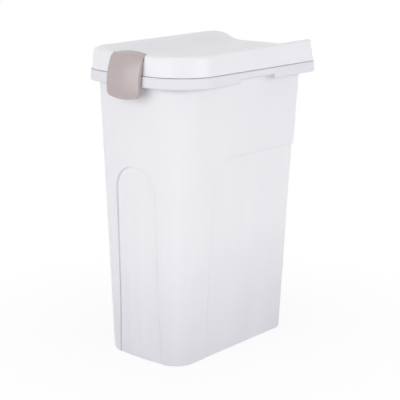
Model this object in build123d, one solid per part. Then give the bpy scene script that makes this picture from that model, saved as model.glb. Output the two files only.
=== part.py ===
"""Pet food storage bin: a tapered tub with a rim, a hinged lid with a dished top, and a front latch.

Millimetres. +Z is up, +X is to the right and the latch is at the front, towards -Y. The origin is the
middle of the tub's underside, on the floor.
"""

from build123d import *
from math import asin, atan2, cos, degrees, hypot, pi, radians, sin, sqrt
import os

# Tub body, outside, at its mouth. Front and rear are Y positions, and an arc bows the front outwards.
MOUTH_WIDTH = 212.0
MOUTH_FRONT = -166.0
MOUTH_REAR = 150.0
MOUTH_FRONT_RADIUS = 53.0
MOUTH_REAR_RADIUS = 29.0
MOUTH_BOW = 3.5
RIM_TOP = 475.0

# How far each wall draws in from the mouth down to the foot, and the foot's own roundings.
SIDE_TAPER = 23.5
FRONT_TAPER = 11.0
REAR_TAPER = 20.0
FOOT_FRONT_RADIUS = 37.0
FOOT_REAR_RADIUS = 21.0
FOOT_BOW = 3.0
FOOT_ROUNDING = 4.0
TUB_WALL = 2.2
FLOOR_THICKNESS = 2.6

# Recessed band round both sides and the rear of the tub, and the recessed arch on its front.
RECESS_DEPTH_TOP = 3.2
RECESS_DEPTH_FOOT = 1.0
BAND_TOP = 335.0
BAND_FRONT_TOP = MOUTH_FRONT + 86.5
BAND_FRONT_FOOT = MOUTH_FRONT + 81.0
BAND_CORNER_RADIUS = 45.0
ARCH_HALF_WIDTH = 43.0
ARCH_TOP = 325.0
ARCH_CORNER_RADIUS = 39.0
ARCH_FLARE = 4.0
ARCH_FLARE_HEIGHT = 95.0

# Underside of the tub: two shallow fields leave a ring and a middle land on the floor.
FIELD_DEPTH = 1.0
FIELD_BORDER = 14.0
LAND_WIDTH = 24.0
FIELD_CORNER_RADIUS = 12.0

# Rim of the tub.
RIM_LEDGE = 1.5
FLANGE_THICKNESS = 2.2
LIP_BOTTOM = RIM_TOP - 17.0
LIP_THICKNESS = 2.0
LIP_FLARE = 1.2
FLANGE_EDGE_BREAK = 0.7
LIP_EDGE_BREAK = 0.4
BEAD_HEIGHT = 7.0
BEAD_TOP = RIM_TOP + BEAD_HEIGHT
GRIP_LENGTH = 90.0
GRIP_MIDDLE = -5.0
GRIP_LIP_BOTTOM = RIM_TOP - 10.5
GRIP_WALL = 2.0
GUSSET_THICKNESS = 1.8
GUSSET_DROP = 13.0
GUSSET_PLACES_Y = (-93.0, 83.0)
GUSSET_PLACES_X = (-36.0, 36.0)

# Lid, outside, at the bottom edge of its skirt. It reaches past the tub's mouth all round.
LID_WIDTH = MOUTH_WIDTH + 28.0
LID_FRONT = MOUTH_FRONT - 10.8
LID_REAR = MOUTH_REAR + 23.0
LID_FRONT_RADIUS = MOUTH_FRONT_RADIUS + 14.0
LID_REAR_RADIUS = MOUTH_REAR_RADIUS + 7.0
LID_BOW = 3.8
LID_GAP = 0.7
LID_BOTTOM = RIM_TOP + LID_GAP
LID_HEIGHT = 33.3
CREST_HEIGHT = LID_BOTTOM + LID_HEIGHT
CREST_RISE = 3.0
CREST_ROUNDING = 7.0
SKIRT_DRAFT = 3.4
LID_WALL = 2.2

# Dish in the lid's top, open towards the rear: its floor, its mouth up at the crest, and the slope between.
DISH_FLOOR = CREST_HEIGHT - 14.5
DISH_HALF_WIDTH = LID_WIDTH / 2 - 12.0
DISH_FRONT = LID_FRONT + 13.8
DISH_RADIUS = 60.0
DISH_SLOPE = 50.0
DISH_STEPS = 7

# Ring and ribs under the lid, which centre it in the tub's mouth.
PLUG_CLEARANCE = 1.6
PLUG_WALL = 1.8
PLUG_DEPTH = 10.0
RIB_THICKNESS = 1.8
RIB_SEAT_GAP = 0.3
RIB_PLACES_Y = (-75.0, 0.0, 75.0)
RIB_PLACES_X = (-48.0, 48.0)

# Latch pivot and the pocket that holds it in the lid's front edge.
LATCH_PIVOT_Y = LID_FRONT + 15.3
LATCH_PIVOT_Z = CREST_HEIGHT - 6.0
LATCH_PIN_RADIUS = 1.6
LATCH_BOSS_RADIUS = 3.4
LATCH_BOSS_LENGTH = 3.0
LATCH_BARREL_RADIUS = 3.8
LATCH_HALF_WIDTH = 34.0
LATCH_SIDE_GAP = 0.6
POCKET_GAP = 0.8

# Latch plate: places of its outer face in the middle of its width, each given from the pivot. The rear edge
# and the nose are the ends of its top; the nose, the bulge and the tip lie on its front, from top to foot.
LATCH_THICKNESS = 2.6
LATCH_REAR_REACH = 1.0
LATCH_REAR_HEIGHT = 8.0
LATCH_NOSE_REACH = 14.0
LATCH_NOSE_HEIGHT = 4.5
LATCH_BULGE_REACH = 27.1
LATCH_BULGE_DROP = CREST_HEIGHT - LIP_BOTTOM - 10.0
LATCH_TIP_REACH = 25.7
LATCH_TIP_DROP = CREST_HEIGHT - LIP_BOTTOM + 14.0
LATCH_TIP_CROWN = 5.0
LATCH_CORNER_RADIUS = 7.0
LATCH_NOSE_BREAK = 1.8
LATCH_REAR_RADIUS = 5.0

# Bows across the plate's width: its front is swept about an upright axis, in degrees, and its top is an arch.
LATCH_BOW_RADIUS = 215.0
LATCH_SWEEP = 27.0
LATCH_ARCH_RADIUS = 160.0

# Side walls behind the plate's two sides: thickness, greatest depth and the share of the way down of it.
LATCH_SIDE_WALL = 2.0
LATCH_SIDE_DEPTH = 5.6
LATCH_SIDE_DEEPEST = 0.45

# Hook at the latch's foot.
HOOK_UNDERLAP = 3.0
HOOK_HEIGHT = 9.0
HOOK_LEAD = 3.0
HOOK_CLEARANCE = 0.5

# Lid hinge at the rear. Its stop holds the open lid, so the lid's swing sets where the stop is.
HINGE_Y = LID_REAR + 4.5
HINGE_Z = RIM_TOP - 1.0
HINGE_SPACING = 140.0
HINGE_PIN_RADIUS = 2.0
HINGE_PIN_HEAD_RADIUS = 2.7
HINGE_PIN_HEAD = 1.6
EAR_RADIUS = 4.0
EAR_THICKNESS = 4.0
KNUCKLE_RADIUS = 4.2
KNUCKLE_WIDTH = 16.0
KNUCKLE_GAP = 0.4
ARM_HEIGHT = 22.0
ARM_SHOULDER = 4.0
STOP_GAP = 0.3
STOP_THICKNESS = 3.0
LID_SWING = 110.0

# Pins: radial clearance where a piece turns on one, and where one is held.
PIN_RUNNING_CLEARANCE = 0.06
PIN_HELD_CLEARANCE = 0.03

# Longer than any size of the bin, for cutters and half spaces.
FAR = 400.0

# The short arcs in which the tapered body's corners and bowed front are drawn, so that they facet sparingly.
CORNER_ARCS = 8
FRONT_ARCS = 4


def arcs(middle, radius, start, end, count):
    """Arcs in line round a circle from one direction to another, counted in radians from +X."""
    step = (end - start) / count
    made = []
    for i in range(count):
        turns = (start + i * step, start + (i + 0.5) * step, start + (i + 1) * step)
        made.append(ThreePointArc(*[around(middle, radius, turn) for turn in turns]))
    return made


def around(middle, radius, turn):
    """The point of a circle in a direction counted in radians from +X."""
    return (middle[0] + radius * cos(turn), middle[1] + radius * sin(turn))


def outline(width, front, rear, front_radius, rear_radius, bow, inset, corner_arcs=1, front_arcs=1):
    """Face of a rounded oblong whose front is one shallow arc, tangent to its corner arcs."""
    half = width / 2 - inset
    front_y = front + inset
    front_corner = front_radius - inset
    rear_corner = rear_radius - inset
    span = width / 2 - front_radius
    front_arc = (span**2 + bow**2) / (2 * bow) + front_radius - inset
    front_x = half - front_corner
    front_corner_y = front_y + front_arc - sqrt((front_arc - front_corner) ** 2 - front_x**2)
    tilt = asin(front_x / (front_arc - front_corner))
    rear_x = half - rear_corner
    rear_corner_y = rear - inset - rear_corner
    right_front = arcs((front_x, front_corner_y), front_corner, tilt - pi / 2, 0, corner_arcs)
    right_rear = arcs((rear_x, rear_corner_y), rear_corner, 0, pi / 2, corner_arcs)
    left_rear = arcs((-rear_x, rear_corner_y), rear_corner, pi / 2, pi, corner_arcs)
    left_front = arcs((-front_x, front_corner_y), front_corner, pi, 3 * pi / 2 - tilt, corner_arcs)
    middle = (0, front_y + front_arc)
    edges = [
        *arcs(middle, front_arc, -tilt - pi / 2, tilt - pi / 2, front_arcs),
        *right_front,
        Line(right_front[-1] @ 1, right_rear[0] @ 0),
        *right_rear,
        Line(right_rear[-1] @ 1, left_rear[0] @ 0),
        *left_rear,
        Line(left_rear[-1] @ 1, left_front[0] @ 0),
        *left_front,
    ]
    return make_face(edges)


def between(low, high, share):
    """Sizes that lie at a share of the way from one set to another."""
    return [a + (b - a) * share for a, b in zip(low, high)]


FOOT = (
    MOUTH_WIDTH - 2 * SIDE_TAPER,
    MOUTH_FRONT + FRONT_TAPER,
    MOUTH_REAR - REAR_TAPER,
    FOOT_FRONT_RADIUS,
    FOOT_REAR_RADIUS,
    FOOT_BOW,
)
MOUTH = (MOUTH_WIDTH, MOUTH_FRONT, MOUTH_REAR, MOUTH_FRONT_RADIUS, MOUTH_REAR_RADIUS, MOUTH_BOW)
LID = (LID_WIDTH, LID_FRONT, LID_REAR, LID_FRONT_RADIUS, LID_REAR_RADIUS, LID_BOW)


def body_outline(z, inset):
    """The tub body's outline at height z."""
    return outline(*between(FOOT, MOUTH, z / RIM_TOP), inset, CORNER_ARCS, FRONT_ARCS)


def foot_inset(height):
    """How far the rounded foot draws in at a height above its underside."""
    rise = max(0.0, 1 - height / FOOT_ROUNDING)
    return FOOT_ROUNDING * (1 - sqrt(1 - rise**2))


def recess_depth(z):
    """Depth of the recessed panels, which run out towards the foot."""
    return RECESS_DEPTH_FOOT + (RECESS_DEPTH_TOP - RECESS_DEPTH_FOOT) * z / BAND_TOP


def tapered(bottom, top, inset, recessed):
    """The tub body's tapered block from bottom to top, drawn in all round by inset."""
    heights = [bottom, bottom + 0.3 * FOOT_ROUNDING, bottom + FOOT_ROUNDING, top]
    faces = []
    for z in heights:
        depth = recess_depth(z) if recessed else 0.0
        face = body_outline(z, inset + depth + foot_inset(z - bottom))
        faces.append(Pos(0, 0, z) * face)
    return loft(faces, ruled=True)


def panels(grow):
    """The space of the recessed band and of the recessed arch, drawn outwards by grow."""
    front_foot = BAND_FRONT_FOOT - grow
    front_top = BAND_FRONT_TOP - grow
    top = BAND_TOP + grow
    band = make_face(
        Polyline((front_foot, -FAR), (front_foot, 0), (front_top, top), (FAR, top), (FAR, -FAR), close=True)
    )
    band = fillet(band.vertices().sort_by(Axis.Y)[-2:].sort_by(Axis.X)[0], BAND_CORNER_RADIUS + grow)
    band = extrude(Plane.YZ * band, FAR, both=True)
    half = ARCH_HALF_WIDTH + grow
    foot_half = half + ARCH_FLARE
    arch_top = ARCH_TOP + grow
    arch = make_face(
        Polyline(
            (-foot_half, -FAR),
            (-foot_half, 0),
            (-half, ARCH_FLARE_HEIGHT),
            (-half, arch_top),
            (half, arch_top),
            (half, ARCH_FLARE_HEIGHT),
            (foot_half, 0),
            (foot_half, -FAR),
            close=True,
        )
    )
    arch = fillet(arch.vertices().sort_by(Axis.Y)[-2:], ARCH_CORNER_RADIUS + grow)
    arch = extrude(Plane.XZ * arch, FAR)
    return band, arch


def body_form(bottom, top, inset):
    """The tub body as a solid block with its recessed panels."""
    band, arch = panels(inset)
    proud = tapered(bottom, top, inset, recessed=False)
    core = tapered(bottom, BAND_TOP + 2 * TUB_WALL + 1, inset, recessed=True)
    return proud - (band - core) - (arch - core)


def ring(outer, inner, bottom, top):
    """Upright ring between two flat outlines."""
    return Pos(0, 0, bottom) * extrude(outer - inner, top - bottom)


def lid_outline(inset):
    """The lid's outline at the bottom edge of its skirt."""
    return outline(*LID, inset)


def lip_block(inset, top):
    """Flared block from the lip's lower edge up to top, drawn in by inset."""
    flare = LIP_FLARE * (RIM_TOP - top) / (RIM_TOP - LIP_BOTTOM)
    low = Pos(0, 0, LIP_BOTTOM) * lid_outline(inset - RIM_LEDGE - LIP_FLARE)
    high = Pos(0, 0, top) * lid_outline(inset - RIM_LEDGE - flare)
    return loft([low, high], ruled=True)


def rim():
    """Flange round the mouth with its down-turned lip, shallower where the hands take hold."""
    block = lip_block(0.0, RIM_TOP)
    block = chamfer(block.faces().sort_by(Axis.Z)[-1].edges(), FLANGE_EDGE_BREAK)
    block = chamfer(block.faces().sort_by(Axis.Z)[0].edges(), LIP_EDGE_BREAK)
    relief_height = GRIP_LIP_BOTTOM - LIP_BOTTOM
    relief = Pos(0, GRIP_MIDDLE, LIP_BOTTOM) * Box(
        LID_WIDTH + FAR, GRIP_LENGTH, relief_height, align=(Align.CENTER, Align.CENTER, Align.MIN)
    )
    return block - lip_block(LIP_THICKNESS, RIM_TOP - FLANGE_THICKNESS) - relief


def bead():
    """Upright bead round the mouth, on which the lid's ribs rest."""
    return ring(body_outline(RIM_TOP, 0), body_outline(RIM_TOP, TUB_WALL), RIM_TOP - 1, BEAD_TOP)


def under_rim_walls():
    """Upright walls below the flange, from the body to the lip: grip ends and gussets."""
    walls = Part()
    depth = RIM_TOP - LIP_BOTTOM
    for end in (-1, 1):
        y = GRIP_MIDDLE + end * (GRIP_LENGTH + GRIP_WALL) / 2
        walls += Pos(0, y, LIP_BOTTOM + depth / 2) * Box(FAR, GRIP_WALL, depth)
    gusset_z = RIM_TOP - GUSSET_DROP / 2
    for y in GUSSET_PLACES_Y:
        walls += Pos(0, y, gusset_z) * Box(FAR, GUSSET_THICKNESS, GUSSET_DROP)
    for x in GUSSET_PLACES_X:
        walls += Pos(x, 0, gusset_z) * Box(GUSSET_THICKNESS, FAR, GUSSET_DROP)
    return walls & lip_block(LIP_THICKNESS / 2, RIM_TOP)


def hinge_places():
    """X positions of the two hinges, left then right."""
    return (-HINGE_SPACING / 2, HINGE_SPACING / 2)


def lobe(radius, x, thickness):
    """Disc about the hinge axis."""
    return Pos(x, HINGE_Y, HINGE_Z) * Rot(0, 90, 0) * Cylinder(radius, thickness)


def hinge_bracket(x):
    """Pair of ears on the rim's rear, joined below by a shelf that stops the open lid."""
    open_arm = [turn_back(point, LID_SWING) for point in hinge_arm(STOP_GAP)[1:3]]
    (y0, z0), (y1, z1) = open_arm
    slope = (z1 - z0) / (y1 - y0)
    reach = KNUCKLE_RADIUS + KNUCKLE_GAP
    far = 3 * reach
    gap_width = KNUCKLE_WIDTH + 2 * KNUCKLE_GAP
    width = gap_width + 2 * EAR_THICKNESS
    rim_rear = LID_REAR + RIM_LEDGE - LIP_THICKNESS / 2 - HINGE_Y
    shelf_end = z0 + slope * (EAR_RADIUS - y0)
    bracket = hinge_prism(
        [
            (rim_rear, RIM_TOP - HINGE_Z),
            (rim_rear, LIP_BOTTOM + LIP_THICKNESS - HINGE_Z),
            (EAR_RADIUS, shelf_end - STOP_THICKNESS),
            (EAR_RADIUS, 0),
            (0, RIM_TOP - HINGE_Z),
        ],
        x,
        width,
    )
    bracket += lobe(EAR_RADIUS, x, width)
    slot = hinge_prism(
        [
            (-reach, z0 + slope * (-reach - y0)),
            (far, z0 + slope * (far - y0)),
            (far, far),
            (-reach, far),
        ],
        x,
        gap_width,
    )
    return bracket, slot


def turn_back(point, angle):
    """A (y, z) point turned about the hinge axis, the way the lid opens."""
    c = cos(radians(angle))
    s = sin(radians(angle))
    return (point[0] * c + point[1] * s, point[1] * c - point[0] * s)


def underside_fields():
    """Shallow fields in the underside, left and right of the middle land."""
    field = body_outline(0, FIELD_BORDER)
    land = Rectangle(LAND_WIDTH, FAR)
    fields = field - land
    corners = [v for v in fields.vertices() if abs(abs(v.X) - LAND_WIDTH / 2) < 0.01]
    return extrude(fillet(corners, FIELD_CORNER_RADIUS), FIELD_DEPTH)


def make_tub():
    """The tub, with its rim and the ears of the lid's hinge."""
    outer = body_form(0.0, RIM_TOP, 0.0)
    inner = body_form(FLOOR_THICKNESS, RIM_TOP + 1, TUB_WALL)
    tub = outer + rim() + under_rim_walls() + bead()
    for x in hinge_places():
        bracket, slot = hinge_bracket(x)
        tub += bracket
        tub -= slot
        tub -= lobe(HINGE_PIN_RADIUS + PIN_HELD_CLEARANCE, x, 3 * KNUCKLE_WIDTH)
    return tub - inner - underside_fields()


def skirt_inset(height):
    """Inset of the skirt's outer face at a height above its bottom edge."""
    return SKIRT_DRAFT * height / (CREST_HEIGHT - LID_BOTTOM)


def tilt_crest(shape):
    """Tilt about the lid's middle, so that the crest rises towards the rear."""
    slope = degrees(atan2(CREST_RISE, LID_REAR - LID_FRONT))
    return Pos(0, 0, CREST_HEIGHT) * Rot(slope, 0, 0) * Pos(0, 0, -CREST_HEIGHT) * shape


def lid_block(bottom, inset, soften):
    """Skirt block under the crest plane, drawn in by inset on all sides, its top edge softened."""
    faces = []
    for z in (bottom - CREST_RISE, CREST_HEIGHT - inset):
        faces.append(Pos(0, 0, z) * lid_outline(inset + skirt_inset(z - LID_BOTTOM)))
    block = tilt_crest(soften(loft(faces, ruled=True)))
    below = Box(3 * FAR, 3 * FAR, FAR, align=(Align.CENTER, Align.CENTER, Align.MAX))
    return block - Pos(0, 0, bottom) * below


def rounded_crest(block):
    """The block with its top edge rounded: one half is rounded and mirrored."""
    half = block & Box(FAR, 2 * FAR, 4 * FAR, align=(Align.MIN, Align.CENTER, Align.CENTER))
    edges = half.faces().sort_by(Axis.Z)[-1].edges().sort_by(Axis.X)[1:]
    half = fillet(edges, CREST_ROUNDING)
    return half + mirror(half, Plane.YZ)


def broken_crest(block):
    """The block with its top edge cut off where it would come through a shell of the lid's thickness."""
    leg = (2 - sqrt(2)) * (CREST_ROUNDING - LID_WALL)
    return chamfer(block.faces().sort_by(Axis.Z)[-1].edges(), leg)


def dish(grow):
    """Cutter for the dish: an S-shaped slope round its front and sides, open at the rear."""
    faces = []
    for step in range(DISH_STEPS + 1):
        share = step / DISH_STEPS
        rise = share**2 * (3 - 2 * share)
        z = DISH_FLOOR - grow + (CREST_HEIGHT - DISH_FLOOR) * rise
        faces.append(Pos(0, 0, z) * dish_outline(DISH_SLOPE * (1 - share) - grow / 2))
    faces.append(Pos(0, 0, CREST_RISE) * faces[-1])
    return tilt_crest(loft(faces, ruled=True))


def dish_outline(inset):
    """Oblong with rounded front corners that runs out past the lid's rear, drawn in by inset."""
    half = DISH_HALF_WIDTH - inset
    length = FAR - DISH_FRONT - inset
    face = Pos(0, DISH_FRONT + inset + length / 2, 0) * Rectangle(2 * half, length)
    return fillet(face.vertices().sort_by(Axis.Y)[:2], DISH_RADIUS - inset)


def pocket(grow):
    """Notch in the lid's front edge for the latch's barrel and the rear of its plate."""
    half = LATCH_HALF_WIDTH + LATCH_SIDE_GAP + grow
    floor = LATCH_PIVOT_Z - LATCH_BARREL_RADIUS - POCKET_GAP - grow
    sweep = hypot(LATCH_REAR_REACH, LATCH_REAR_HEIGHT)
    rear = LATCH_PIVOT_Y + sweep + POCKET_GAP + grow
    return Pos(0, rear, floor) * Box(2 * half, FAR, FAR, align=(Align.CENTER, Align.MAX, Align.MIN))


def plug_and_ribs():
    """Ring that enters the tub's mouth, and the ribs that rest on the tub's bead."""
    plug_outer = body_outline(RIM_TOP, TUB_WALL + PLUG_CLEARANCE)
    plug_inner = body_outline(RIM_TOP, TUB_WALL + PLUG_CLEARANCE + PLUG_WALL)
    plug = ring(plug_outer, plug_inner, BEAD_TOP - PLUG_DEPTH, CREST_HEIGHT + CREST_RISE)
    seat = BEAD_TOP + RIB_SEAT_GAP
    channel = ring(lid_outline(LID_WALL / 2), plug_inner, seat, CREST_HEIGHT + CREST_RISE)
    bars = Part()
    for y in RIB_PLACES_Y:
        bars += Pos(0, y, seat) * Box(FAR, RIB_THICKNESS, FAR)
    for x in RIB_PLACES_X:
        bars += Pos(x, 0, seat) * Box(RIB_THICKNESS, FAR, FAR)
    return plug + (bars & channel)


def hinge_arm(clearance=0.0):
    """Side view of a lid hinge arm, from its knuckle up to the skirt, as (y, z) from the hinge axis."""
    rear = KNUCKLE_RADIUS + clearance
    skirt = LID_REAR - SKIRT_DRAFT - HINGE_Y
    return [
        (rear, 0),
        (rear, ARM_SHOULDER),
        (skirt, ARM_HEIGHT),
        (skirt, LID_BOTTOM - HINGE_Z),
        (-KNUCKLE_RADIUS, LID_BOTTOM - HINGE_Z),
        (0, 0),
    ]


def hinge_prism(points, x, thickness):
    """Prism along X of a side view given as (y, z) from the hinge axis."""
    face = Plane.YZ * make_face(Polyline(*points, close=True))
    return Pos(x, HINGE_Y, HINGE_Z) * extrude(face, thickness / 2, both=True)


def make_lid():
    """The lid: one shell with its plug ring, ribs, latch pocket and hinge knuckles."""
    outer = lid_block(LID_BOTTOM, 0.0, rounded_crest) - dish(0.0)
    inner = lid_block(LID_BOTTOM - 1, LID_WALL, broken_crest) - dish(LID_WALL) - pocket(LID_WALL)
    below = Pos(0, 0, LID_BOTTOM) * Box(FAR, FAR, 2 * PLUG_DEPTH)
    lid = outer - inner + (plug_and_ribs() & (outer + below))
    lid += latch_shaft(LATCH_BOSS_RADIUS, 2 * latch_pin_reach()) & outer
    lid -= pocket(0.0)
    for x in hinge_places():
        lid += hinge_prism(hinge_arm(), x, KNUCKLE_WIDTH)
        lid += lobe(KNUCKLE_RADIUS, x, KNUCKLE_WIDTH)
        lid -= lobe(HINGE_PIN_RADIUS + PIN_RUNNING_CLEARANCE, x, 2 * KNUCKLE_WIDTH)
    return lid - latch_shaft(LATCH_PIN_RADIUS + PIN_HELD_CLEARANCE, 2 * latch_pin_reach() + 1)


def latch_pin_reach():
    """X position of the right end of the latch's pin."""
    return LATCH_HALF_WIDTH + LATCH_SIDE_GAP + LID_WALL + LATCH_BOSS_LENGTH


def latch_shaft(radius, length):
    """Cylinder about the latch's pivot, along X."""
    return Pos(0, LATCH_PIVOT_Y, LATCH_PIVOT_Z) * Rot(0, 90, 0) * Cylinder(radius, length)


def latch_front_arc():
    """Outer line of the plate's front at its middle, from its nose down to its tip."""
    nose = (LATCH_PIVOT_Y - LATCH_NOSE_REACH, LATCH_PIVOT_Z + LATCH_NOSE_HEIGHT)
    bulge = (LATCH_PIVOT_Y - LATCH_BULGE_REACH, LATCH_PIVOT_Z - LATCH_BULGE_DROP)
    tip = (LATCH_PIVOT_Y - LATCH_TIP_REACH, LATCH_PIVOT_Z - LATCH_TIP_DROP)
    return ThreePointArc(nose, bulge, tip)


def inside_front(share, depth):
    """Point depth behind the plate's bowed front, share of the way down it."""
    front = latch_front_arc()
    return front @ share + depth * (front % share).rotate(Axis.Z, 90)


def middle_arc():
    """Arc halfway through the thickness of the plate's front."""
    return ThreePointArc(*[inside_front(share, LATCH_THICKNESS / 2) for share in (0, 0.5, 1)])


def bowed(face):
    """Sweep of a side view (y, z) about the upright axis that bows the plate's front across its width."""
    axis = Axis((0, LATCH_PIVOT_Y - LATCH_BULGE_REACH + LATCH_BOW_RADIUS, 0), (0, 0, 1))
    return revolve(Plane.YZ * face, axis=axis, revolution_arc=LATCH_SWEEP).rotate(axis, -LATCH_SWEEP / 2)


def latch_block(inset):
    """Space behind the latch's bowed front and under its arched, sloping top, drawn in by inset."""
    front = latch_front_arc()
    behind = bowed(Pos(front.arc_center) * Circle(front.radius - inset))
    slope = degrees(atan2(LATCH_REAR_HEIGHT - LATCH_NOSE_HEIGHT, LATCH_NOSE_REACH - LATCH_REAR_REACH))
    rear_edge = Pos(0, LATCH_PIVOT_Y - LATCH_REAR_REACH, LATCH_PIVOT_Z + LATCH_REAR_HEIGHT)
    drum = Pos(0, 0, -LATCH_ARCH_RADIUS) * Rot(90, 0, 0) * Cylinder(LATCH_ARCH_RADIUS - inset, FAR)
    return behind & (rear_edge * Rot(slope, 0, 0) * drum)


def latch_plate():
    """The plate: a shell with a broken nose, trimmed to its outline, with rounded rear corners."""
    block = latch_block(0)
    nose = (0, LATCH_PIVOT_Y - LATCH_NOSE_REACH, LATCH_PIVOT_Z + LATCH_NOSE_HEIGHT)
    block = chamfer(block.edges().sort_by_distance(nose)[0], LATCH_NOSE_BREAK)
    before = Pos(0, LATCH_PIVOT_Y - LATCH_REAR_REACH, LATCH_PIVOT_Z) * Box(
        FAR, FAR, FAR, align=(Align.CENTER, Align.MAX, Align.CENTER)
    )
    plate = (block - latch_block(LATCH_THICKNESS)) & latch_front() & before
    upright = plate.edges().filter_by(Axis.Z).group_by(Axis.Y)[-1]
    return fillet(upright, LATCH_REAR_RADIUS)


def latch_front():
    """Front view of the latch, with its arched lower edge and rounded lower corners."""
    low = LATCH_PIVOT_Z - LATCH_TIP_DROP
    corner_left = (-LATCH_HALF_WIDTH, low + LATCH_TIP_CROWN)
    corner_right = (LATCH_HALF_WIDTH, low + LATCH_TIP_CROWN)
    top = LATCH_PIVOT_Z + FAR
    face = make_face(
        [
            ThreePointArc(corner_left, (0, low), corner_right),
            Polyline(corner_right, (LATCH_HALF_WIDTH, top), (-LATCH_HALF_WIDTH, top), corner_left),
        ]
    )
    face = fillet(face.vertices().sort_by(Axis.Y)[:2], LATCH_CORNER_RADIUS)
    return extrude(Plane.XZ * face, FAR)


def latch_side_walls():
    """Walls turned in along the plate's two sides, deepest beside the bulge."""
    middle = middle_arc()
    back = ThreePointArc(middle @ 1, inside_front(LATCH_SIDE_DEEPEST, LATCH_SIDE_DEPTH), middle @ 0)
    walls = bowed(make_face([middle, back]))
    gap = 2 * (LATCH_HALF_WIDTH - LATCH_SIDE_WALL)
    return walls - Pos(0, LATCH_PIVOT_Y, LATCH_PIVOT_Z) * Box(gap, FAR, FAR)


def latch_hook():
    """Hook along the plate's foot; its upper face is an arc about the pivot that just misses the lip."""
    lip_foot = LID_FRONT - RIM_LEDGE - LIP_FLARE
    reach = hypot(lip_foot - LATCH_PIVOT_Y, LIP_BOTTOM - LATCH_PIVOT_Z) + HOOK_CLEARANCE
    tip = lip_foot + HOOK_UNDERLAP - LATCH_PIVOT_Y
    root = LATCH_THICKNESS / 2 - LATCH_BULGE_REACH
    middle = (tip + root) / 2
    top = [(y, -sqrt(reach**2 - y**2)) for y in (root, middle, tip)]
    low = top[2][1] - HOOK_HEIGHT
    face = make_face(
        [
            ThreePointArc(*top),
            Polyline(top[2], (tip, low + HOOK_LEAD), (root + 2 * HOOK_LEAD, low), (root, low), top[0]),
        ]
    )
    face = Plane.YZ * face
    block = extrude(face, LATCH_HALF_WIDTH - LATCH_SIDE_WALL / 2, both=True)
    return Pos(0, LATCH_PIVOT_Y, LATCH_PIVOT_Z) * block


def latch_web():
    """Web from the barrel up to the plate's top, between the plate's rounded rear corners."""
    thickness = LATCH_BARREL_RADIUS - LATCH_REAR_REACH
    y = LATCH_PIVOT_Y - LATCH_REAR_REACH - thickness / 2
    width = 2 * (LATCH_HALF_WIDTH - LATCH_REAR_RADIUS)
    web = Box(width, thickness, 2 * LATCH_REAR_HEIGHT, align=(Align.CENTER, Align.CENTER, Align.MIN))
    return Pos(0, y, LATCH_PIVOT_Z) * web


def make_latch():
    """The latch: a bowed plate with side walls, a barrel on its pin and a hook under the rim."""
    inside = (latch_side_walls() + latch_hook() + latch_web()) & latch_block(LATCH_THICKNESS / 2)
    latch = latch_plate() + (inside & latch_front())
    latch += latch_shaft(LATCH_BARREL_RADIUS, 2 * LATCH_HALF_WIDTH)
    return latch - latch_shaft(LATCH_PIN_RADIUS + PIN_RUNNING_CLEARANCE, FAR)


def make_latch_pin():
    """The latch's pin, held in the two bosses beside the pocket."""
    return latch_shaft(LATCH_PIN_RADIUS, 2 * latch_pin_reach())


def make_hinge_pin(side):
    """One of the lid's two hinge pins, with its head on the outer side."""
    reach = KNUCKLE_WIDTH / 2 + KNUCKLE_GAP + EAR_THICKNESS
    x = side * HINGE_SPACING / 2
    pin = lobe(HINGE_PIN_RADIUS, x, 2 * reach)
    return pin + lobe(HINGE_PIN_HEAD_RADIUS, x + side * (reach + HINGE_PIN_HEAD / 2), HINGE_PIN_HEAD)


if __name__ == "__main__":
    os.makedirs("parts", exist_ok=True)
    export_step(make_tub(), "parts/tub.step")
    export_step(make_lid(), "parts/lid.step")
    export_step(make_latch(), "parts/latch.step")
    export_step(make_latch_pin(), "parts/latch_pin.step")
    export_step(make_hinge_pin(-1), "parts/hinge_pin_left.step")
    export_step(make_hinge_pin(1), "parts/hinge_pin_right.step")
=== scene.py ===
"""Looks of the pet food storage bin: materials, soft studio light and the camera.

Metres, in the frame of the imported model. The bin stands on the floor at z = 0, with its latch towards -Y.
"""

import math

import bpy
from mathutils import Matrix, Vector


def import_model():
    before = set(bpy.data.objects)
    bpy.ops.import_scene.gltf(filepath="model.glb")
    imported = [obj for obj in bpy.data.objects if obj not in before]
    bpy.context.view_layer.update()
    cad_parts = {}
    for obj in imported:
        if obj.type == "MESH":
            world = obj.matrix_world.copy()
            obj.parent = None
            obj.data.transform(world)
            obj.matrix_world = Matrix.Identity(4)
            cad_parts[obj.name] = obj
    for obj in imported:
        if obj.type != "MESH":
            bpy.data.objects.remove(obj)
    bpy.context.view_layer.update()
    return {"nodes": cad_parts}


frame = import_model()

MM = 0.001

# Camera: where it stands, how far it is turned and looks down, and its lens.
CAMERA_PLACE = (1.2722, -1.4636, 0.7266)
CAMERA_TURN = math.radians(41.06)
CAMERA_DIP = math.radians(14.03)
CAMERA_LENS_MM = 105.57
SENSOR_MM = 36.0

# Colours of the plastics and the steel. The milky tub's foot and rim colours are painted shade: darker
# towards the bottom, and under the lid's skirt.
TUB_FOOT_SHADED_COLOUR = (0.80, 0.791, 0.845)
TUB_COLOUR = (0.93, 0.921, 0.975)
TUB_RIM_SHADED_COLOUR = (0.815, 0.808, 0.858)
LID_COLOUR = (0.88, 0.875, 0.915)
LATCH_COLOUR = (0.47, 0.39, 0.40)
STEEL_COLOUR = (0.62, 0.62, 0.63)

# Painted colours along the edges: painted shade on the tub and the latch, a painted highlight on the lid.
# The tub keeps this share of its own colour there.
TUB_EDGE_SHADE = 0.92
LID_EDGE_HIGHLIGHT_COLOUR = (0.89, 0.89, 0.915)
LATCH_EDGE_SHADED_COLOUR = (0.40, 0.315, 0.32)

# Heights between which the tub's painted shade changes: up from its foot, and from its body to its rim.
TUB_FOOT_TOP = 240 * MM
TUB_BODY_TOP = 448 * MM
TUB_RIM_LOW = 460 * MM
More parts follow.
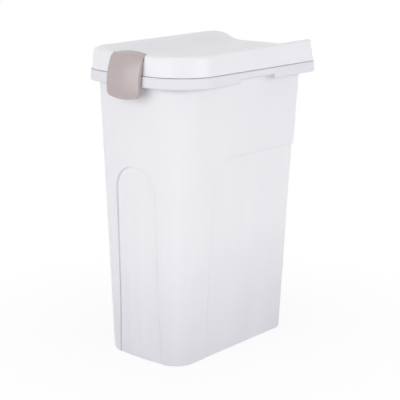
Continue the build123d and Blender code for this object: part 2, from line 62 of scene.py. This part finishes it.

# Hand grips: the wall within this half width and half length takes its colour from lower down by the drop,
# painted light against the shade under the grips' lip.
GRIP_HALF_WIDTH = 116.5 * MM
GRIP_HALF_LENGTH = 110 * MM
GRIP_WIDTH_FADE = 2 * MM
GRIP_LENGTH_FADE = 40 * MM
GRIP_DROP = 20 * MM

# Clouds in the colours: how much darker they get, their waves per metre, and the stretch of the tub's.
TUB_CLOUDS = 0.035
LID_CLOUDS = 0.015
LATCH_CLOUDS = 0.02
CLOUD_WAVES = 14.0
CLOUD_DETAIL = 4.0
TUB_STREAKS = (1.0, 1.0, 0.12)

# Gloss: each plastic's middle roughness, and how far it wanders below and above that.
TUB_ROUGHNESS = 0.42
LID_ROUGHNESS = 0.33
LATCH_ROUGHNESS = 0.33
SMOOTHER_BY = 0.05
ROUGHER_BY = 0.06
GLOSS_WAVES = 45.0
GLOSS_DETAIL = 3.0

# Fine grain of the moulded faces: its strength on each plastic, its waves per metre and its depth.
TUB_GRAIN = 0.25
LID_GRAIN = 0.15
LATCH_GRAIN = 0.1
GRAIN_WAVES = 2600.0
GRAIN_DETAIL = 2.0
GRAIN_DEPTH = 0.05 * MM

# How strongly the plastics reflect, by their index of refraction and a level where 0.5 is usual.
PLASTIC_IOR = 1.49
TUB_REFLECTION = 0.3
LATCH_REFLECTION = 1.0

# Scattering inside the pale plastics: its weight, its depth, and its reach in red, green and blue.
TUB_SCATTERING = 0.45
TUB_SCATTERING_DEPTH = 3 * MM
LID_SCATTERING = 0.15
LID_SCATTERING_DEPTH = 2 * MM
EVEN_REACH = (1.0, 1.0, 1.0)

# Rings on the drawn steel of the pins, which lie along X: waves per metre, shade, gloss and depth.
RING_WAVES = (9000.0, 300.0, 300.0)
RING_DETAIL = 2.0
RING_SHADE = 0.1
STEEL_SMOOTHEST = 0.24
STEEL_ROUGHEST = 0.38
RING_STRENGTH = 0.3
RING_DEPTH = 0.01 * MM

# Noise keeps mostly between these values.
NOISE_LOW = 0.3
NOISE_HIGH = 0.7

# Softened edges: the radius of each, the cosine of the turn that is all edge, and the rays that find it.
TUB_EDGE_RADIUS = 3.0 * MM
LID_EDGE_RADIUS = 0.8 * MM
LATCH_EDGE_RADIUS = 1.2 * MM
STEEL_EDGE_RADIUS = 0.2 * MM
EDGE_COSINE = 0.93
EDGE_SAMPLES = 6

# Faces that meet at less than this angle are shaded as one surface.
SMOOTH_ANGLE = math.radians(24)
LATCH_SMOOTH_ANGLE = math.radians(12)

# Corners nearer to each other than this are welded, so that the faces round them share their shading.
WELD_DISTANCE = 0.001 * MM

# Floor: its size and finish.
FLOOR_SIZE = 12.0
FLOOR_COLOUR = (0.95, 0.95, 0.95)
FLOOR_ROUGHNESS = 0.9
FLOOR_REFLECTION = 0.1

# White of the floor to the camera: its share at the bin, where the shadow is, and how far out it is full.
FLOOR_WHITE = 0.88
FLOOR_WHITE_FROM = 0.16
FLOOR_WHITE_FULL = 0.55

# Light levels: white to the camera, and the share of its colour at which the world alone lights a face.
FULL_WHITE = 1.0
WORLD_LEVEL = 0.45
WHITE = (1.0, 1.0, 1.0)

# Lamps: name, place, point that each faces, side of its square in metres, and power in watts.
UPPER_BODY = (0, 0, 0.35)
LOWER_BODY = (0, 0, 0.2)
LAMPS = (
    ("front", (-0.55, -2.5, 0.6), UPPER_BODY, 2.2, 31),
    ("side", (2.55, 0.1, 0.65), UPPER_BODY, 1.8, 25),
    ("rear", (-1.2, 2.4, 0.15), LOWER_BODY, 0.6, 12),
    ("top", (0.2, -0.2, 2.6), UPPER_BODY, 1.6, 11),
)


class Nodes:
    """Short ways to add nodes to a material or a world, to set their inputs and to join them."""

    def __init__(self, tree, output):
        self.tree = tree
        tree.nodes.clear()
        self.output = self.add(output)

    def add(self, kind, **inputs):
        """Add a node and set its inputs."""
        return self.set(self.tree.nodes.new(kind), **inputs)

    def set(self, node, **inputs):
        """Set a node's inputs by name, with underscores for spaces."""
        for name, source in inputs.items():
            self.feed(source, node.inputs[name.replace("_", " ")])
        return node

    def feed(self, source, target):
        """Join an output to an input, or set the input to a number, a vector or a colour."""
        if isinstance(source, bpy.types.NodeSocket):
            self.tree.links.new(source, target)
        elif target.type == "RGBA":
            target.default_value = (*source, 1)
        else:
            target.default_value = source

    def show(self, surface):
        """Make a shader's output the surface of the material or the world."""
        self.feed(surface, self.output.inputs["Surface"])


def new_material(name):
    """An empty node material and its Principled shader, joined to the output."""
    material = bpy.data.materials.new(name)
    material.use_nodes = True
    nodes = Nodes(material.node_tree, "ShaderNodeOutputMaterial")
    shader = nodes.add("ShaderNodeBsdfPrincipled")
    nodes.show(shader.outputs["BSDF"])
    return material, nodes, shader


def place_on_object(nodes):
    """The shaded point's place on the object, in metres."""
    return nodes.add("ShaderNodeTexCoord").outputs["Object"]


def worked(nodes, operation, *sources):
    """Result of a Math node on outputs or numbers."""
    node = nodes.add("ShaderNodeMath")
    node.operation = operation
    for source, target in zip(sources, node.inputs):
        nodes.feed(source, target)
    return node.outputs["Value"]


def ranged(nodes, source, start, end, low=0.0, high=1.0, shape="LINEAR"):
    """Map a source that runs from start to end onto low to high, and hold it there beyond them."""
    node = nodes.add("ShaderNodeMapRange", Value=source, From_Min=start, From_Max=end)
    nodes.set(node, To_Min=low, To_Max=high)
    node.interpolation_type = shape
    return node.outputs["Result"]


def noise(nodes, waves, detail, stretch=(1.0, 1.0, 1.0)):
    """Noise over the object with so many waves per metre. A stretch below 1 draws it out along that axis."""
    place = nodes.add("ShaderNodeMapping", Vector=place_on_object(nodes), Scale=stretch)
    texture = nodes.add("ShaderNodeTexNoise", Vector=place.outputs["Vector"], Scale=waves, Detail=detail)
    return texture.outputs["Fac"]


def spread(nodes, source, low, high):
    """Spread a noise out from low to high."""
    return ranged(nodes, source, NOISE_LOW, NOISE_HIGH, low, high, "SMOOTHSTEP")


def grained(nodes, normal, height, strength, depth):
    """Normal with a relief on it."""
    bump = nodes.add("ShaderNodeBump", Strength=strength, Distance=depth, Height=height, Normal=normal)
    return bump.outputs["Normal"]


def mixed(nodes, share, first, second, kind="MIX"):
    """Mix of two colours by the share of the second."""
    mix = nodes.add("ShaderNodeMix")
    mix.data_type = "RGBA"
    mix.blend_type = kind
    nodes.set(mix, Factor=share, A=first, B=second)
    return mix.outputs["Result"]


def mixed_shader(nodes, share, first, second):
    """Mix of two shaders by the share of the second."""
    mix = nodes.add("ShaderNodeMixShader", Fac=share)
    nodes.feed(first, mix.inputs[1])
    nodes.feed(second, mix.inputs[2])
    return mix.outputs["Shader"]


def soft_normal(nodes, radius):
    """Normal that turns softly at the edges."""
    soft = nodes.add("ShaderNodeBevel", Radius=radius)
    soft.samples = EDGE_SAMPLES
    return soft.outputs["Normal"]


def edge_mask(nodes, normal):
    """0 on open faces, rising to 1 along the edges, where the soft normal leaves the plain one."""
    plain = nodes.add("ShaderNodeNewGeometry")
    cosine = nodes.add("ShaderNodeVectorMath")
    cosine.operation = "DOT_PRODUCT"
    nodes.feed(normal, cosine.inputs[0])
    nodes.feed(plain.outputs["Normal"], cosine.inputs[1])
    return ranged(nodes, cosine.outputs["Value"], 1.0, EDGE_COSINE)


def near_middle(nodes, source, limit, fade):
    """0 where a coordinate is beyond the limit from the middle, rising to 1 over the fade inside it."""
    return ranged(nodes, worked(nodes, "ABSOLUTE", source), limit, limit - fade)


def painted_shade_height(nodes):
    """Height above the floor that places the tub's painted shade, less the drop on the wall behind the hand
    grips.
    """
    split = nodes.add("ShaderNodeSeparateXYZ", Vector=place_on_object(nodes))
    in_width = near_middle(nodes, split.outputs["X"], GRIP_HALF_WIDTH, GRIP_WIDTH_FADE)
    in_length = near_middle(nodes, split.outputs["Y"], GRIP_HALF_LENGTH, GRIP_LENGTH_FADE)
    # Painted light: behind the grips the wall takes the lighter body colour instead of the rim's painted
    # shade.
    drop = worked(nodes, "MULTIPLY", worked(nodes, "MULTIPLY", in_width, in_length), GRIP_DROP)
    return worked(nodes, "SUBTRACT", split.outputs["Z"], drop)


def by_height(nodes, height, stops):
    """Colour that follows a height through (height, colour) stops."""
    heights, colours = zip(*stops)
    low, high = heights[0], heights[-1]
    shares = [(stop - low) / (high - low) for stop in heights]
    ramp = nodes.add("ShaderNodeValToRGB", Fac=ranged(nodes, height, low, high))
    ramp.color_ramp.interpolation = "EASE"
    for share in shares[1:-1]:
        ramp.color_ramp.elements.new(share)
    for element, share, colour in zip(ramp.color_ramp.elements, shares, colours):
        element.position = share
        element.color = (*colour, 1)
    return ramp.outputs["Color"]


def clouded(nodes, colour, source, shade):
    """Colour that darkens by up to the given share along a noise."""
    return mixed(nodes, 1.0, colour, spread(nodes, source, 1 - shade, 1.0), "MULTIPLY")


def plastic(name, roughness, grain, edge_radius):
    """Moulded plastic with uneven gloss, a fine grain and softened edges, but no colour yet."""
    material, nodes, shader = new_material(name)
    normal = soft_normal(nodes, edge_radius)
    patches = noise(nodes, GLOSS_WAVES, GLOSS_DETAIL)
    gloss = spread(nodes, patches, roughness - SMOOTHER_BY, roughness + ROUGHER_BY)
    relief = grained(nodes, normal, noise(nodes, GRAIN_WAVES, GRAIN_DETAIL), grain, GRAIN_DEPTH)
    nodes.set(shader, Roughness=gloss, Normal=relief, IOR=PLASTIC_IOR)
    return material, nodes, shader, edge_mask(nodes, normal)


def colour_plastic(nodes, shader, colour, shade, edges, painted_edge_colour, stretch=(1.0, 1.0, 1.0)):
    """Give a plastic a cloudy colour that turns to the painted edge shading along the edges."""
    clouds = noise(nodes, CLOUD_WAVES, CLOUD_DETAIL, stretch)
    face = clouded(nodes, colour, clouds, shade)
    nodes.set(shader, Base_Color=mixed(nodes, edges, face, painted_edge_colour))


def scatter(nodes, shader, weight, depth):
    """Let light enter the plastic and come out again up to a depth away."""
    nodes.set(shader, Subsurface_Weight=weight, Subsurface_Radius=EVEN_REACH, Subsurface_Scale=depth)


def tub_plastic():
    """Milky translucent plastic with faint upright streaks from the moulding, and painted shade towards its
    foot, in its rim under the lid and along its edges.
    """
    material, nodes, shader, edges = plastic("tub_plastic", TUB_ROUGHNESS, TUB_GRAIN, TUB_EDGE_RADIUS)
    stops = [
        (0.0, TUB_FOOT_SHADED_COLOUR),
        (TUB_FOOT_TOP, TUB_COLOUR),
        (TUB_BODY_TOP, TUB_COLOUR),
        (TUB_RIM_LOW, TUB_RIM_SHADED_COLOUR),
    ]
    # Painted shade along the edges and recess steps: the tub's colours, darkened by its edge share.
    painted_edge_stops = [(stop, tuple(TUB_EDGE_SHADE * part for part in colour)) for stop, colour in stops]
    # Painted shade by height: darker towards the foot and in the rim under the lid.
    height = painted_shade_height(nodes)
    shaded_face_colour = by_height(nodes, height, stops)
    painted_edge_colour = by_height(nodes, height, painted_edge_stops)
    colour_plastic(nodes, shader, shaded_face_colour, TUB_CLOUDS, edges, painted_edge_colour, TUB_STREAKS)
    scatter(nodes, shader, TUB_SCATTERING, TUB_SCATTERING_DEPTH)
    nodes.set(shader, Specular_IOR_Level=TUB_REFLECTION)
    return material


def lid_plastic():
    """Opaque white plastic with a satin shine and a painted highlight along its edges."""
    material, nodes, shader, edges = plastic("lid_plastic", LID_ROUGHNESS, LID_GRAIN, LID_EDGE_RADIUS)
    colour_plastic(nodes, shader, LID_COLOUR, LID_CLOUDS, edges, LID_EDGE_HIGHLIGHT_COLOUR)
    scatter(nodes, shader, LID_SCATTERING, LID_SCATTERING_DEPTH)
    return material


def latch_plastic():
    """Taupe plastic with a soft shine and painted shade along its edges."""
    material, nodes, shader, edges = plastic(
        "latch_plastic", LATCH_ROUGHNESS, LATCH_GRAIN, LATCH_EDGE_RADIUS
    )
    colour_plastic(nodes, shader, LATCH_COLOUR, LATCH_CLOUDS, edges, LATCH_EDGE_SHADED_COLOUR)
    nodes.set(shader, Specular_IOR_Level=LATCH_REFLECTION)
    return material


def pin_steel():
    """Drawn steel wire with fine rings along the pins."""
    material, nodes, shader = new_material("pin_steel")
    rings = noise(nodes, 1.0, RING_DETAIL, RING_WAVES)
    gloss = spread(nodes, rings, STEEL_SMOOTHEST, STEEL_ROUGHEST)
    relief = grained(nodes, soft_normal(nodes, STEEL_EDGE_RADIUS), rings, RING_STRENGTH, RING_DEPTH)
    colour = clouded(nodes, STEEL_COLOUR, rings, RING_SHADE)
    nodes.set(shader, Base_Color=colour, Roughness=gloss, Normal=relief, Metallic=1.0)
    return material


def dress(node, material, smooth_angle=SMOOTH_ANGLE):
    """Give a CAD node its material, and shade its faceted curves as smooth ones."""
    piece = frame["nodes"][node]
    piece.data.materials.clear()
    piece.data.materials.append(material)
    for polygon in piece.data.polygons:
        polygon.use_smooth = True
    weld = piece.modifiers.new("weld", "WELD")
    weld.merge_threshold = WELD_DISTANCE
    split = piece.modifiers.new("creases", "EDGE_SPLIT")
    split.split_angle = smooth_angle
    split.use_edge_sharp = False


def seen_ray(nodes):
    """1 for rays that see the surroundings: from the camera, in a reflection or through something clear."""
    ray = nodes.add("ShaderNodeLightPath")
    seen = worked(nodes, "MAXIMUM", ray.outputs["Is Camera Ray"], ray.outputs["Is Glossy Ray"])
    return worked(nodes, "MAXIMUM", seen, ray.outputs["Is Transmission Ray"])


def floor_paper():
    """Paper that glows white to the camera, but less so round the bin, so that it keeps the bin's shadow."""
    material, nodes, shader = new_material("floor_paper")
    nodes.set(shader, Base_Color=FLOOR_COLOUR, Roughness=FLOOR_ROUGHNESS)
    nodes.set(shader, Specular_IOR_Level=FLOOR_REFLECTION)
    distance = nodes.add("ShaderNodeVectorMath")
    distance.operation = "LENGTH"
    nodes.feed(place_on_object(nodes), distance.inputs[0])
    white = ranged(nodes, distance.outputs["Value"], FLOOR_WHITE_FROM, FLOOR_WHITE_FULL, FLOOR_WHITE)
    share = worked(nodes, "MULTIPLY", white, seen_ray(nodes))
    glow = nodes.add("ShaderNodeEmission", Color=WHITE, Strength=FULL_WHITE)
    nodes.show(mixed_shader(nodes, share, shader.outputs["BSDF"], glow.outputs["Emission"]))
    return material


def floor():
    """Square sheet of paper under the bin."""
    mesh = bpy.data.meshes.new("floor")
    half = FLOOR_SIZE / 2
    corners = [(-half, -half, 0), (half, -half, 0), (half, half, 0), (-half, half, 0)]
    mesh.from_pydata(corners, [], [(0, 1, 2, 3)])
    mesh.materials.append(floor_paper())
    sheet = bpy.data.objects.new("floor", mesh)
    bpy.context.scene.collection.objects.link(sheet)


def world():
    """Even white surroundings: full white to the camera and in reflections, the light level elsewhere."""
    surroundings = bpy.data.worlds.new("studio")
    bpy.context.scene.world = surroundings
    surroundings.use_nodes = True
    nodes = Nodes(surroundings.node_tree, "ShaderNodeOutputWorld")
    light = nodes.add("ShaderNodeBackground", Color=WHITE, Strength=WORLD_LEVEL)
    seen = nodes.add("ShaderNodeBackground", Color=WHITE, Strength=FULL_WHITE)
    surface = mixed_shader(nodes, seen_ray(nodes), light.outputs["Background"], seen.outputs["Background"])
    nodes.show(surface)


def softbox(name, place, target, size, power):
    """Square area lamp at place, turned to face target."""
    data = bpy.data.lights.new(name, "AREA")
    data.size = size
    data.energy = power
    lamp = bpy.data.objects.new(name, data)
    bpy.context.scene.collection.objects.link(lamp)
    lamp.location = place
    lamp.rotation_euler = (Vector(target) - Vector(place)).to_track_quat("-Z", "Y").to_euler()


def camera():
    """Camera at the viewing angle of the photograph."""
    data = bpy.data.cameras.new("camera")
    data.lens = CAMERA_LENS_MM
    data.sensor_width = SENSOR_MM
    eye = bpy.data.objects.new("camera", data)
    bpy.context.scene.collection.objects.link(eye)
    eye.location = CAMERA_PLACE
    eye.rotation_euler = (math.pi / 2 - CAMERA_DIP, 0, CAMERA_TURN)
    bpy.context.scene.camera = eye


dress("tub", tub_plastic())
dress("lid", lid_plastic())
dress("latch", latch_plastic(), LATCH_SMOOTH_ANGLE)
steel = pin_steel()
for pin in ("latch_pin", "hinge_pin_left", "hinge_pin_right"):
    dress(pin, steel)

floor()
world()
for lamp in LAMPS:
    softbox(*lamp)
camera()

scene = bpy.context.scene
scene.view_settings.view_transform = "Standard"
